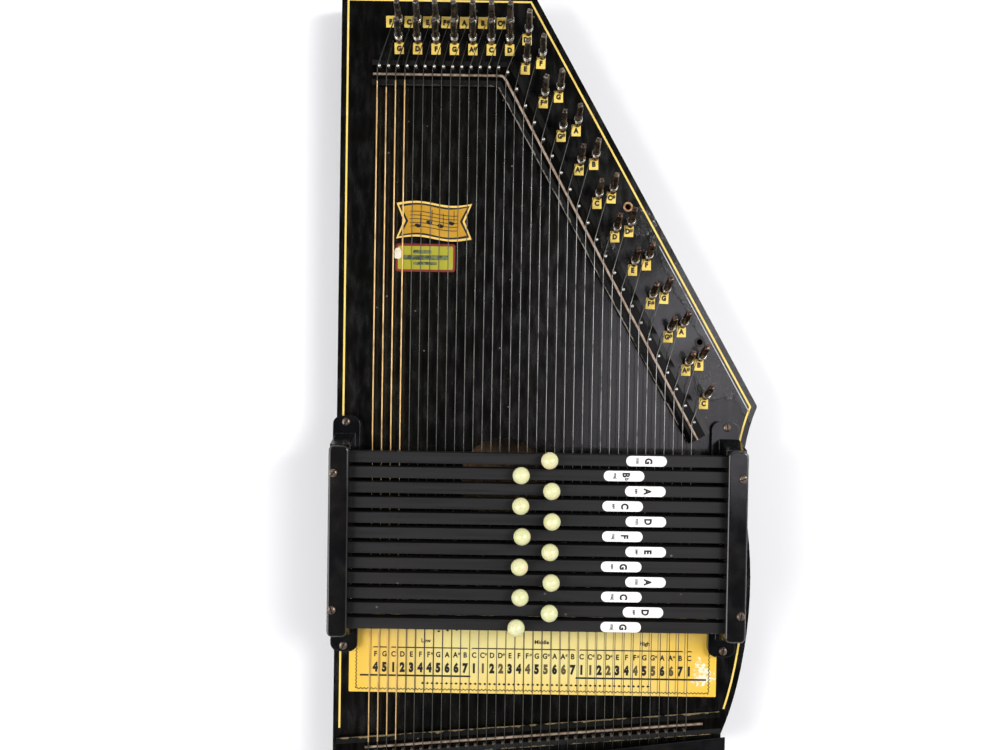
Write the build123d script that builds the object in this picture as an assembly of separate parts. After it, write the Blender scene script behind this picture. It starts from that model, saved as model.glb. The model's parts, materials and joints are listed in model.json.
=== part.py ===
from build123d import *
import math
import os

# Chorded zither of the autoharp type: a flat wooden sound box with 36 strings and 12 sprung chord
# bars that damp every string outside their chord. All sizes are in millimetres.
# Frame: the back lies on z = 0 under the middle of the instrument, +Y runs towards the tuning
# pins and +X towards the short treble strings.

# ---------------------------------------------------------------- sound box
left_x = -147.1  # straight bass side
head_y = 286.4  # straight edge behind the tuning pins
shoulder_x = -12.1  # where the head turns into the slanted side
pin_block_corner = (149.35, 1.2)  # sharp corner of the slanted side, before it is rounded
waist_curve = [
    (143.0, -18.9),
    (139.9, -45.0),
    (144.0, -82.4),
    (147.0, -123.0),
    (142.6, -178.4),
    (135.5, -210.4),
]
tail_right = (128.1, -251.4)
tail_side_y = -231.7  # where the curved treble side turns straight
tail_left_y = -285.6
corner_radius = 3.0

back_thickness = 3.0
rim_height = 30.0
soundboard_thickness = 3.0
deck_z = back_thickness + rim_height + soundboard_thickness  # top of the soundboard

left_rail_width = 14.0
right_rail_inner_x = 117.3
tail_block_depth = 50.0
head_block_y = 213.5
pin_block_split_x = -40.0
pin_block_front = 13.0  # the slanted pin block reaches this far in front of the slanted bridge rod
pin_block_end_y = -45.0
brace_width = 8.0
brace_height = 12.0
brace_places_y = [60.0, -150.0]
sound_hole_centre = (-29.3, -53.4)
sound_hole_radius = 30.0

# ---------------------------------------------------------------- strings and bridges
string_count = 36
string_pitch = 6.35
first_string_x = -120.6
wound_string_count = 4
wound_string_radius = 0.55
middle_string_count = 14  # strings up to this number are the heavier plain ones
middle_string_radius = 0.30
thin_string_radius = 0.25
bend_gap = 0.12  # a bent string stands this far off the rods and pins that it turns on
hole_gap = 0.02

rod_radius = 0.9
rod_bend_radius = 4.0
upper_rod_left_x = -123.7
upper_rod_bend = (-33.26, 228.1)
upper_rod_end = (106.0, -22.4)
lower_rod_left = (-123.2, -242.0)
lower_rod_right = (113.3, -221.7)

bridge_height = 7.2
bridge_edge_height = 4.2  # height of the upright front edge under its bevel
upper_bridge_front = 6.5
upper_bridge_back = 10.5
upper_bridge_back_top = 6.5  # where the bevel behind the pins starts
upper_bridge_back_edge_height = 5.4
upper_bridge_left_x = -124.7
lower_bridge_front = 6.25
lower_bridge_back = 9.5
lower_bridge_back_top = 4.6
lower_bridge_back_edge_height = 4.4
lower_bridge_left_x = -143.3
lower_bridge_right_x = 126.3

guide_pin_radius = 0.9
guide_pin_head_radius = 1.15
guide_pin_head_height = 11.0  # centre of the domed head above the soundboard
lower_guide_pin_head_height = 9.6
guide_pin_foot_height = 2.0
guide_pin_behind_straight = 5.0
guide_pin_behind_slanted = 4.6
guide_pin_behind_lower = 3.4
guide_pin_hole_rise = 2.0  # the drilled holes run this far past the top of the strips
hitch_pin_inset = 11.6
hitch_pin_top = 2.4
hitch_pin_depth = 10.0
hitch_string_height = 1.6

# ---------------------------------------------------------------- tuning pins
pin_radius = 2.3
pin_bearing_radius = pin_radius + 0.05
pin_soundboard_hole_radius = 2.8
pin_lean = math.radians(18.0)  # away from the pull of the strings
pin_exposed = 25.0
pin_buried = 20.0
pin_square_length = 12.0
pin_square_size = 4.4
pin_square_taper = 2.4
pin_hole_rise = 8.0  # the drills run this far past the soundboard
coil_inner_radius = 2.55
coil_outer_radius = 3.2
coil_bottom = 4.4
coil_turns = 4
coil_wire = 0.9

pin_column_pitch = 12.9
first_pin_x = -106.7
head_row_y = 265.6
second_row_y = 253.6
turning_pin_place = (-16.2, 260.4)  # string 15, between the straight rows and the slanted ones
slanted_even_start = (-17.1, 240.0)
slanted_even_step = (12.95, -23.27)
slanted_odd_start = (-6.3, 244.1)
slanted_odd_step = (12.76, -23.3)

# ---------------------------------------------------------------- chord bars and their holders
bar_count = 12
bar_pitch = 10.3
bars_middle_y = -92.5
bar_width = 7.6
bar_height = 10.0
bar_top = 28.0  # heights here are above the soundboard
bar_left_x = -140.9
bar_right_x = 129.7
bar_travel = 3.0
felt_width = 6.5
felt_end_gap = 0.3  # the felt stops this short of half way to the next string
felt_stop_gap = 0.3  # left between the felts and the thickest strings when a bar is fully down
highest_string_top = bridge_height + 2 * rod_radius + 2 * wound_string_radius + bend_gap
felt_thickness = bar_top - bar_height - highest_string_top - felt_stop_gap - bar_travel
button_radius = 5.75
button_height = 8.0
button_stem_radius = 3.0
button_stem_height = 4.0
button_dome_share = 0.75  # rounding of the dome as a share of the button's radius
button_under_edge = 0.8
odd_button_x = 3.3
even_button_x = -17.2
button_offsets = [-1.5, 0.0, 0.2, 0.0, 0.7, 1.2, -0.3, -0.2, 0.8, 0.5, -0.1, -1.8]  # glued on by hand

string_notes = "F G C D E F F# G A A# B C C# D D# E F F# G G# A A# B C C# D D# E F F# G G# A A# B C".split()
chord_notes = [
    "G A# D",
    "A# D F",
    "A C# E G",
    "C E G A#",
    "D F A",
    "F A C",
    "E G# B D",
    "G B D F",
    "A C E",
    "C E G",
    "D F# A C",
    "G B D",
]

foot_length = 166.0
foot_width = 19.0
foot_thickness = 5.0
foot_corner_radius = 6.0
holder_width = 13.8
holder_top = 28.3
holder_half_length_low = 70.6
holder_half_length_high = 65.0
holder_wall = 5.5
slot_width = 8.2
left_holder_outer_x = -147.0
right_holder_outer_x = 135.8
left_foot_outer_x = -149.0
right_foot_outer_x = 135.8

cover_length = 129.6
cover_top = 35.0
cover_corner_radius = 3.75
cover_edge_radius = 1.6
cover_inner_wall = 2.0
cover_roof = 2.2

foot_screw_half_spacing = 78.75
left_foot_screw_x = -139.7
right_foot_screw_x = 127.3
cover_screw_half_spacing = 46.25
left_cover_screw_x = -143.5
right_cover_screw_x = 132.1
screw_head_radius = 2.9
screw_head_height = 1.8
screw_slot_width = 0.8
screw_slot_depth = 0.9
screw_dome_share = 0.8
shank_radius = 1.4
shank_length = 16.0
screw_hole_radius = 1.5
screw_hole_spare = 0.5  # the blind holes run this far past the screws

spring_radius = 2.8
spring_bore_radius = 2.2
spring_end_gap = 0.1
left_spring_x = -137.0
right_spring_x = 125.8

# ---------------------------------------------------------------- tail cover and brass eyelets
tail_cover_depth = 18.8
tail_cover_height = 5.4
tail_cover_sheet = 0.8
tail_cover_bend = 5.0
tail_cover_drop = 20.0
tail_cover_right_x = 130.0

eyelet_places = [(55.6, 140.1), (107.7, 46.0)]
eyelet_bore_radius = 2.1
eyelet_tube_radius = 2.6
eyelet_flange_radius = 3.4
eyelet_flange_height = 0.8
eyelet_depth = 14.0
eyelet_hole_radius = 2.65

reach = 400.0  # larger than the instrument, for cutting shapes
over_cut = 1.0  # drills and slots run this far past what they cut
bottom = (Align.CENTER, Align.CENTER, Align.MIN)


# ---------------------------------------------------------------- places worked out from the sizes
def string_x(number):
    return first_string_x + string_pitch * (number - 1)


def string_radius(number):
    if number <= wound_string_count:
        return wound_string_radius
    if number <= middle_string_count:
        return middle_string_radius
    return thin_string_radius


def along(x, start, end):
    """Y at x on the straight line from start to end."""
    return start[1] + (end[1] - start[1]) * (x - start[0]) / (end[0] - start[0])


def tail_y(x):
    return along(x, (left_x, tail_left_y), tail_right)


def upper_rod_y(x):
    if x <= upper_rod_bend[0]:
        return upper_rod_bend[1]
    return along(x, upper_rod_bend, upper_rod_end)


def lower_rod_y(x):
    return along(x, lower_rod_left, lower_rod_right)


def upper_guide_y(x):
    behind = guide_pin_behind_straight if x <= upper_rod_bend[0] else guide_pin_behind_slanted
    return upper_rod_y(x) + behind


def guide_pin_side(number):
    """How far the axis of a guide pin stands from its string."""
    return string_radius(number) + guide_pin_radius + bend_gap


def tuning_pin_place(number):
    """Where the axis of a tuning pin leaves the soundboard."""
    if number < 15:
        row_y = head_row_y if number % 2 else second_row_y
        return (first_pin_x + pin_column_pitch * ((number - 1) // 2), row_y)
    if number == 15:
        return turning_pin_place
    start = slanted_odd_start if number % 2 else slanted_even_start
    step = slanted_odd_step if number % 2 else slanted_even_step
    place = (number - 16) // 2
    return (start[0] + step[0] * place, start[1] + step[1] * place)


def tuning_pin_frame(number):
    x, y = tuning_pin_place(number)
    axis = (0, math.sin(pin_lean), math.cos(pin_lean))
    return Plane(origin=(x, y, deck_z), x_dir=(1, 0, 0), z_dir=axis).location


def bar_y(number):
    return bars_middle_y + bar_pitch * ((bar_count + 1) / 2 - number)


def rod_direction():
    dx = upper_rod_end[0] - upper_rod_bend[0]
    dy = upper_rod_end[1] - upper_rod_bend[1]
    length = math.hypot(dx, dy)
    return (dx / length, dy / length)


def extrude_between(face, low, high):
    return extrude(Pos(0, 0, low) * face, amount=high - low)


# ---------------------------------------------------------------- plan shapes
def polygon(points):
    return make_face(Polyline(*points, close=True))


def outline():
    side_end = (tail_right[0], tail_side_y)
    edges = [
        Line((left_x, tail_left_y), (left_x, head_y)),
        Line((left_x, head_y), (shoulder_x, head_y)),
        Line((shoulder_x, head_y), pin_block_corner),
        Spline(pin_block_corner, *waist_curve, side_end),
        Line(side_end, tail_right),
        Line(tail_right, (left_x, tail_left_y)),
    ]
    face = make_face(edges)
    rounded = [(left_x, head_y), (shoulder_x, head_y), pin_block_corner]
    corners = [v for v in face.vertices() if any(math.dist((v.X, v.Y), place) < 0.01 for place in rounded)]
    return fillet(corners, corner_radius)


body_outline = outline()


def tail_region():
    """Everything within the tail block's depth of the slanted tail edge."""
    low = -reach
    left = (-reach, tail_y(-reach) + tail_block_depth)
    right = (reach, tail_y(reach) + tail_block_depth)
    return polygon([(-reach, low), (reach, low), right, left])


def head_region():
    return box_region(-reach, pin_block_split_x, head_block_y, reach)


def slanted_region():
    """Plan of the slanted pin block: everything behind a line in front of the slanted rod."""
    dx, dy = rod_direction()
    start_x = upper_rod_bend[0] + dy * pin_block_front
    start_y = upper_rod_bend[1] - dx * pin_block_front
    end_x = start_x + dx * (pin_block_end_y - start_y) / dy
    split_y = start_y + dy * (pin_block_split_x - start_x) / dx
    corner_points = [
        (pin_block_split_x, reach),
        (pin_block_split_x, split_y),
        (end_x, pin_block_end_y),
        (reach, pin_block_end_y),
        (reach, reach),
    ]
    return polygon(corner_points)


def box_region(x_low, x_high, y_low, y_high):
    return polygon([(x_low, y_low), (x_high, y_low), (x_high, y_high), (x_low, y_high)])


def frame_faces():
    head = body_outline & head_region()
    slanted = body_outline & slanted_region()
    tail = body_outline & tail_region()
    left_rail = body_outline & box_region(left_x, left_x + left_rail_width, -reach, head_block_y)
    right_rail = body_outline & box_region(right_rail_inner_x, reach, -reach, pin_block_end_y)
    left_rail = left_rail - tail_region()
    right_rail = right_rail - tail_region()
    return head, slanted, tail, left_rail, right_rail


# ---------------------------------------------------------------- holes
def tuning_pin_hole(number, radius):
    length = pin_buried + over_cut + pin_hole_rise
    hole = Pos(0, 0, -pin_buried - over_cut) * Cylinder(radius, length, align=bottom)
    return tuning_pin_frame(number) * hole


def upright_hole(x, y, radius, low, high):
    return Pos(x, y, deck_z + low) * Cylinder(radius, high - low, align=bottom)


def hitch_places():
    numbers = range(1, string_count + 1)
    return [(string_x(n), tail_y(string_x(n)) + hitch_pin_inset) for n in numbers]


def foot_screw_places():
    ends = [bars_middle_y + foot_screw_half_spacing, bars_middle_y - foot_screw_half_spacing]
    return [(x, y) for x in (left_foot_screw_x, right_foot_screw_x) for y in ends]


def cover_screw_places():
    ends = [bars_middle_y + cover_screw_half_spacing, bars_middle_y - cover_screw_half_spacing]
    return [(x, y) for x in (left_cover_screw_x, right_cover_screw_x) for y in ends]


def foot_screw_holes():
    return [upright_hole(x, y, screw_hole_radius, -shank_length, 0.1) for x, y in foot_screw_places()]


def eyelet_holes():
    return [upright_hole(x, y, eyelet_hole_radius, -eyelet_depth - 0.1, 0.1) for x, y in eyelet_places]


def hitch_holes():
    radius = guide_pin_radius + hole_gap
    return [upright_hole(x, y, radius, -hitch_pin_depth - 0.1, 0.1) for x, y in hitch_places()]


# ---------------------------------------------------------------- sound box pieces
def make_pin_block():
    head, slanted = frame_faces()[:2]
    blocks = [extrude_between(face, back_thickness, back_thickness + rim_height) for face in (head, slanted)]
    bearings = [tuning_pin_hole(n, pin_bearing_radius) for n in range(1, string_count + 1)]
    return [block - bearings - foot_screw_holes() - eyelet_holes() for block in blocks]


def make_body_frame():
    tail, left_rail, right_rail = frame_faces()[2:]
    faces = [tail, left_rail, right_rail]
    members = [extrude_between(face, back_thickness, back_thickness + rim_height) for face in faces]
    drilled = [member - foot_screw_holes() - hitch_holes() for member in members]
    chamber = body_outline
    for face in frame_faces():
        chamber = chamber - face
    brace_top = back_thickness + rim_height
    for y in brace_places_y:
        strip = chamber & box_region(-reach, reach, y - brace_width / 2, y + brace_width / 2)
        drilled.append(extrude_between(strip, brace_top - brace_height, brace_top))
    return drilled


def make_soundboard():
    board = extrude_between(body_outline, deck_z - soundboard_thickness, deck_z)
    clearance = [tuning_pin_hole(n, pin_soundboard_hole_radius) for n in range(1, string_count + 1)]
    sound_hole = upright_hole(*sound_hole_centre, sound_hole_radius, -5.0, 5.0)
    return [board - clearance - [sound_hole] - foot_screw_holes() - eyelet_holes() - hitch_holes()]


def make_back_panel():
    return [extrude_between(body_outline, 0.0, back_thickness)]


# ---------------------------------------------------------------- bridges, rods and pins
def bridge_strip(start, end, front, back, back_top, back_edge_height):
    """A bevelled strip along a rod: front is the side of the long strings, back the pins' side."""
    profile_points = [
        (front, 0.0),
        (front, bridge_edge_height),
        (front * 0.5, bridge_height),
        (back_top, bridge_height),
        (back, back_edge_height),
        (back, 0.0),
    ]
    direction = Vector(end[0] - start[0], end[1] - start[1], 0)
    across = Vector(-direction.Y, direction.X, 0).normalized()
    section = Plane(origin=(start[0], start[1], deck_z), x_dir=across, z_dir=direction)
    upright = 1 if section.y_dir.Z > 0 else -1
    face = section * polygon([(u, h * upright) for u, h in profile_points])
    return extrude(face, amount=direction.length)


def upper_bridge_strips():
    dx, dy = rod_direction()
    lap = 30.0  # each strip runs past the bend and is then mitred
    bend = Vector(upper_rod_bend[0], upper_rod_bend[1])
    along_slant = Vector(dx, dy)
    head_start = (upper_bridge_left_x, upper_rod_bend[1])
    head_end = (bend.X + lap, bend.Y)
    slant_start = bend - along_slant * lap
    backs = (upper_bridge_back, upper_bridge_back_top, upper_bridge_back_edge_height)
    sizes = (-upper_bridge_front, *backs)
    head_strip = bridge_strip(head_start, head_end, *sizes)
    slanted_strip = bridge_strip((slant_start.X, slant_start.Y), upper_rod_end, *sizes)
    mitre_normal = (1 + dx, dy, 0)
    mitre = Plane(origin=(bend.X, bend.Y, deck_z), z_dir=mitre_normal)
    head_part = split(head_strip, bisect_by=mitre, keep=Keep.BOTTOM)
    slanted_part = split(slanted_strip, bisect_by=mitre, keep=Keep.TOP)
    return [head_part, slanted_part]


def lower_bridge_strip():
    start = (lower_bridge_left_x, lower_rod_y(lower_bridge_left_x))
    end = (lower_bridge_right_x, lower_rod_y(lower_bridge_right_x))
    backs = (-lower_bridge_back, -lower_bridge_back_top, lower_bridge_back_edge_height)
    return bridge_strip(start, end, lower_bridge_front, *backs)


def upper_guide_places():
    """The upper guide pins stand on the treble side of their strings."""
    numbers = range(1, string_count + 1)
    return [(string_x(n) + guide_pin_side(n), upper_guide_y(string_x(n))) for n in numbers]


def lower_guide_places():
    """The lower guide pins stand on the bass side of their strings."""
    places = []
    for number in range(1, string_count + 1):
        x = string_x(number)
        places.append((x - guide_pin_side(number), lower_rod_y(x) - guide_pin_behind_lower))
    return places


def make_string_bridges():
    places = upper_guide_places() + lower_guide_places()
    hole_radius = guide_pin_radius + hole_gap
    hole_top = bridge_height + guide_pin_hole_rise
    holes = [upright_hole(x, y, hole_radius, guide_pin_foot_height, hole_top) for x, y in places]
    strips = upper_bridge_strips() + [lower_bridge_strip()]
    return [strip - holes for strip in strips]


def rod_along(path):
    section = Plane(origin=path @ 0, z_dir=path % 0) * Circle(rod_radius)
    return sweep(section, path=path)


def guide_pin(x, y, head_height):
    shaft_length = head_height - guide_pin_foot_height
    shaft = Cylinder(guide_pin_radius, shaft_length, align=bottom)
    pin = shaft + Pos(0, 0, shaft_length) * Sphere(guide_pin_head_radius)
    return Pos(x, y, deck_z + guide_pin_foot_height) * pin


def hitch_pin(x, y):
    shaft = Cylinder(guide_pin_radius, hitch_pin_depth + hitch_pin_top, align=bottom)
    return Pos(x, y, deck_z - hitch_pin_depth) * shaft


def make_rods_and_pins():
    rod_z = deck_z + bridge_height + rod_radius
    upper_places = [(upper_rod_left_x, upper_rod_bend[1]), upper_rod_bend, upper_rod_end]
    upper_points = [(x, y, rod_z) for x, y in upper_places]
    upper_rod = rod_along(FilletPolyline(*upper_points, radius=rod_bend_radius))
    lower_rod = rod_along(Line((*lower_rod_left, rod_z), (*lower_rod_right, rod_z)))
    upper_guides = [guide_pin(x, y, guide_pin_head_height) for x, y in upper_guide_places()]
    lower_guides = [guide_pin(x, y, lower_guide_pin_head_height) for x, y in lower_guide_places()]
    hitches = [hitch_pin(x, y) for x, y in hitch_places()]
    return [upper_rod, lower_rod] + upper_guides + lower_guides + hitches


# ---------------------------------------------------------------- strings
def string_route(number):
    """From the hitch pin over the lower rod and the upper rod, round the guide pin to the coil."""
    x = string_x(number)
    radius = string_radius(number)
    height = deck_z + bridge_height + 2 * rod_radius + radius + bend_gap
    hitch_y = tail_y(x) + hitch_pin_inset + guide_pin_radius + 0.1
    pin_x, pin_y = tuning_pin_place(number)
    coil_middle = coil_bottom + coil_turns * coil_wire / 2
    coil_x = pin_x - (coil_inner_radius + coil_outer_radius) / 2
    coil_y = pin_y + coil_middle * math.sin(pin_lean)
    coil_z = deck_z + coil_middle * math.cos(pin_lean)
    guide_y = upper_guide_y(x)
    run_to_guide = guide_y - upper_rod_y(x)
    run_to_coil = math.dist((x, guide_y), (coil_x, coil_y))
    stop = 1.0 - (coil_outer_radius + radius) / run_to_coil  # the last turns belong to the pin
    guide_z = height + (coil_z - height) * run_to_guide / (run_to_guide + run_to_coil)
    guide = Vector(x, guide_y, guide_z)
    end = guide + (Vector(coil_x, coil_y, coil_z) - guide) * stop
    hitch = Vector(x, hitch_y, deck_z + hitch_string_height)
    lower = Vector(x, lower_rod_y(x), height)
    upper = Vector(x, upper_rod_y(x), height)
    return [hitch, lower, upper, guide, end]


def make_strings():
    strings = []
    for number in range(1, string_count + 1):
        path = Polyline(*string_route(number))
        section = Plane(origin=path @ 0, z_dir=path % 0) * Circle(string_radius(number))
        strings.append(sweep(section, path=path, transition=Transition.RIGHT))
    return strings


# ---------------------------------------------------------------- tuning pins
def wire_coil():
    """The turns of wire on a pin, as one ridged sleeve."""
    top = coil_bottom + coil_turns * coil_wire
    edges = []
    for turn in range(coil_turns):
        low = coil_bottom + turn * coil_wire
        edges.append(
            ThreePointArc(
                (coil_inner_radius, 0, low),
                (coil_outer_radius, 0, low + coil_wire / 2),
                (coil_inner_radius, 0, low + coil_wire),
            )
        )
    edges.append(
        Polyline(
            (coil_inner_radius, 0, top),
            (pin_radius, 0, top),
            (pin_radius, 0, coil_bottom),
            (coil_inner_radius, 0, coil_bottom),
        )
    )
    return revolve(make_face(edges), axis=Axis.Z)


def make_tuning_pin(number):
    round_length = pin_exposed - pin_square_length
    shaft = Pos(0, 0, -pin_buried) * Cylinder(pin_radius, pin_buried + round_length, align=bottom)
    section = Rectangle(pin_square_size, pin_square_size)
    square = extrude(section, amount=pin_square_length, taper=pin_square_taper)
    head = Pos(0, 0, round_length) * (square & Cylinder(pin_radius, pin_square_length, align=bottom))
    place = tuning_pin_frame(number)
    return [place * (shaft + head), place * wire_coil()]


# ---------------------------------------------------------------- chord bars
def muted_runs(chord):
    """First and last string of each run of neighbouring strings outside the chord."""
    sounding = set(chord.split())
    runs = []
    for number, note in enumerate(string_notes, start=1):
        if note in sounding:
            continue
        if runs and runs[-1][1] == number - 1:
            runs[-1][1] = number
        else:
            runs.append([number, number])
    return runs


def make_button():
    stem = Cylinder(button_stem_radius, button_stem_height, align=bottom)
    dome = Cylinder(button_radius, button_height, align=bottom)
    dome = fillet(dome.edges().group_by(Axis.Z)[-1], button_radius * button_dome_share)
    dome = fillet(dome.edges().group_by(Axis.Z)[0], button_under_edge)
    return stem + Pos(0, 0, button_stem_height) * dome


def make_chord_bar(number):
    y = bar_y(number)
    length = bar_right_x - bar_left_x
    middle_x = (bar_right_x + bar_left_x) / 2
    bar_bottom = deck_z + bar_top - bar_height
    bar = Pos(middle_x, y, bar_bottom) * Box(length, bar_width, bar_height, align=bottom)
    pieces = [bar]
    for first, last in muted_runs(chord_notes[number - 1]):
        felt_length = string_pitch * (last - first + 1) - 2 * felt_end_gap
        felt_x = (string_x(first) + string_x(last)) / 2
        felt = Box(felt_length, felt_width, felt_thickness, align=bottom)
        pieces.append(Pos(felt_x, y, bar_bottom - felt_thickness) * felt)
    button_x = (odd_button_x if number % 2 else even_button_x) + button_offsets[number - 1]
    pieces.append(Pos(button_x, y, deck_z + bar_top) * make_button())
    return pieces


# ---------------------------------------------------------------- holders, covers and springs
def holder_slots(wall_x, towards_middle):
    """The open-topped slots that guide the bar ends, from the outer wall inwards."""
    slots = []
    depth = holder_width
    for number in range(1, bar_count + 1):
        low = deck_z + foot_thickness
        slot = Box(depth, slot_width, holder_top, align=bottom)
        slots.append(Pos(wall_x + towards_middle * depth / 2, bar_y(number), low) * slot)
    return slots


def make_holder(outer_x, foot_outer_x, towards_middle, screw_x, cover_screw_x):
    foot_x = foot_outer_x + towards_middle * foot_width / 2
    foot_face = RectangleRounded(foot_width, foot_length, foot_corner_radius)
    foot = extrude_between(Pos(foot_x, bars_middle_y) * foot_face, deck_z, deck_z + foot_thickness)
    side_profile = [
        (bars_middle_y - holder_half_length_low, deck_z + foot_thickness),
        (bars_middle_y + holder_half_length_low, deck_z + foot_thickness),
        (bars_middle_y + holder_half_length_high, deck_z + holder_top),
        (bars_middle_y - holder_half_length_high, deck_z + holder_top),
    ]
    low_x = min(outer_x, outer_x + towards_middle * holder_width)
    side = Plane(origin=(low_x, 0, 0), x_dir=(0, 1, 0), z_dir=(1, 0, 0)) * polygon(side_profile)
    block = extrude(side, amount=holder_width)
    slots = holder_slots(outer_x + towards_middle * holder_wall, towards_middle)
    screw_holes = []
    for sign in (1, -1):
        foot_screw_y = bars_middle_y + sign * foot_screw_half_spacing
        cover_screw_y = bars_middle_y + sign * cover_screw_half_spacing
        low = -over_cut
        high = foot_thickness + over_cut
        screw_holes.append(upright_hole(screw_x, foot_screw_y, screw_hole_radius, low, high))
        low = cover_top - shank_length - screw_hole_spare
        screw_holes.append(upright_hole(cover_screw_x, cover_screw_y, screw_hole_radius, low, cover_top))
    return foot + block - slots - screw_holes


def make_bar_holders():
    left = make_holder(left_holder_outer_x, left_foot_outer_x, 1, left_foot_screw_x, left_cover_screw_x)
    right = make_holder(right_holder_outer_x, right_foot_outer_x, -1, right_foot_screw_x, right_cover_screw_x)
    return [left, right]


def make_cover(outer_x, towards_middle, screw_x):
    middle_x = outer_x + towards_middle * holder_width / 2
    face = Pos(middle_x, bars_middle_y) * RectangleRounded(holder_width, cover_length, cover_corner_radius)
    cover = extrude_between(face, deck_z + holder_top, deck_z + cover_top)
    cover = fillet(cover.edges().group_by(Axis.Z)[-1], cover_edge_radius)
    pocket_width = holder_width - holder_wall - cover_inner_wall
    pocket_x = outer_x + towards_middle * (holder_wall + pocket_width / 2)
    pocket_depth = cover_top - holder_top - cover_roof
    pocket = Box(pocket_width, bar_pitch * bar_count, pocket_depth, align=bottom)
    cover = cover - Pos(pocket_x, bars_middle_y, deck_z + holder_top) * pocket
    for sign in (1, -1):
        y = bars_middle_y + sign * cover_screw_half_spacing
        low = holder_top - over_cut
        cover = cover - upright_hole(screw_x, y, screw_hole_radius, low, cover_top + over_cut)
    return cover


def make_holder_covers():
    left = make_cover(left_holder_outer_x, 1, left_cover_screw_x)
    right = make_cover(right_holder_outer_x, -1, right_cover_screw_x)
    return [left, right]


def make_bar_springs():
    """The outer shape of each coil spring, as a sleeve."""
    seat = deck_z + foot_thickness + spring_end_gap
    height = bar_top - bar_height - foot_thickness - 2 * spring_end_gap
    outside = Cylinder(spring_radius, height, align=bottom)
    spring = outside - Cylinder(spring_bore_radius, height, align=bottom)
    places = [(x, bar_y(n)) for x in (left_spring_x, right_spring_x) for n in range(1, bar_count + 1)]
    return [Pos(x, y, seat) * spring for x, y in places]


# ---------------------------------------------------------------- screws, eyelets and tail cover
def slotted_screw(x, y, seat_height, slot_angle):
    head = Cylinder(screw_head_radius, screw_head_height, align=bottom)
    head = fillet(head.edges().group_by(Axis.Z)[-1], screw_head_height * screw_dome_share)
    slot = Box(3 * screw_head_radius, screw_slot_width, 2 * screw_slot_depth)
    head = head - Pos(0, 0, screw_head_height) * Rot(0, 0, slot_angle) * slot
    shank = Pos(0, 0, -shank_length) * Cylinder(shank_radius, shank_length, align=bottom)
    return Pos(x, y, deck_z + seat_height) * (head + shank)


def make_eyelet(x, y):
    tube = Pos(0, 0, -eyelet_depth) * Cylinder(eyelet_tube_radius, eyelet_depth, align=bottom)
    flange = Cylinder(eyelet_flange_radius, eyelet_flange_height, align=bottom)
    bore = Pos(0, 0, -2 * eyelet_depth) * Cylinder(eyelet_bore_radius, 4 * eyelet_depth, align=bottom)
    return Pos(x, y, deck_z) * (tube + flange - bore)


def make_screws_and_eyelets():
    foot_slot_angles = [60.0, 65.0, 100.0, 80.0]
    cover_slot_angles = [50.0, 110.0, 20.0, 80.0]
    screws = []
    for (x, y), angle in zip(foot_screw_places(), foot_slot_angles):
        screws.append(slotted_screw(x, y, foot_thickness, angle))
    for (x, y), angle in zip(cover_screw_places(), cover_slot_angles):
        screws.append(slotted_screw(x, y, cover_top, angle))
    return screws + [make_eyelet(x, y) for x, y in eyelet_places]


def make_tail_cover():
    """A folded steel sheet over the string ends and down the tail face."""
    outside = tail_cover_bend - tail_cover_sheet
    inside = tail_cover_height - tail_cover_sheet
    diagonal = math.sqrt(0.5)
    start_x = left_x - tail_cover_depth
    end_x = tail_cover_right_x + tail_cover_depth
    direction = Vector(end_x - start_x, tail_y(end_x) - tail_y(start_x), 0)
    inwards = Vector(-direction.Y, direction.X, 0).normalized()
    origin = Vector(start_x, tail_y(start_x), deck_z)
    bend_height = tail_cover_height - tail_cover_bend

    def at(depth, height):
        return origin + inwards * depth + Vector(0, 0, height)

    edges = [
        Line(at(tail_cover_depth, inside), at(tail_cover_depth, tail_cover_height)),
        Line(at(tail_cover_depth, tail_cover_height), at(outside, tail_cover_height)),
        ThreePointArc(
            at(outside, tail_cover_height),
            at(outside - tail_cover_bend * diagonal, bend_height + tail_cover_bend * diagonal),
            at(-tail_cover_sheet, bend_height),
        ),
        Line(at(-tail_cover_sheet, bend_height), at(-tail_cover_sheet, -tail_cover_drop)),
        Line(at(-tail_cover_sheet, -tail_cover_drop), at(0, -tail_cover_drop)),
        Line(at(0, -tail_cover_drop), at(0, bend_height)),
        ThreePointArc(
            at(0, bend_height),
            at(outside - outside * diagonal, bend_height + outside * diagonal),
            at(outside, inside),
        ),
        Line(at(outside, inside), at(tail_cover_depth, inside)),
    ]
    sheet = extrude(make_face(edges), amount=direction.length, dir=direction.normalized())
    width = tail_cover_right_x - left_x
    middle_x = (left_x + tail_cover_right_x) / 2
    return [sheet & Pos(middle_x, tail_left_y, deck_z) * Box(width, reach, reach)]


# ---------------------------------------------------------------- writing the nodes
def write_node(name, solids):
    """Every physical piece is a solid of its own inside its node."""
    pieces = []
    for item in solids:
        pieces.extend(item.solids())
    export_step(Compound(children=pieces), f"parts/{name}.step")
    return pieces


def write_all():
    os.makedirs("parts", exist_ok=True)
    nodes = {
        "body_frame": make_body_frame(),
        "pin_block": make_pin_block(),
        "soundboard": make_soundboard(),
        "back_panel": make_back_panel(),
        "string_bridges": make_string_bridges(),
        "bridge_rods_and_pins": make_rods_and_pins(),
        "strings": make_strings(),
        "bar_holders": make_bar_holders(),
        "holder_covers": make_holder_covers(),
        "bar_springs": make_bar_springs(),
        "tail_cover": make_tail_cover(),
        "screws_and_eyelets": make_screws_and_eyelets(),
    }
    for number in range(1, bar_count + 1):
        nodes[f"chord_bar_{number:02d}"] = make_chord_bar(number)
    for number in range(1, string_count + 1):
        nodes[f"tuning_pin_{number:02d}"] = make_tuning_pin(number)
    everything = []
    for name, solids in nodes.items():
        everything.extend(write_node(name, solids))
    box = Compound(children=everything).bounding_box()
    print("nodes", len(nodes), "solids", len(everything), "box", box.min, box.max)


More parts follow.
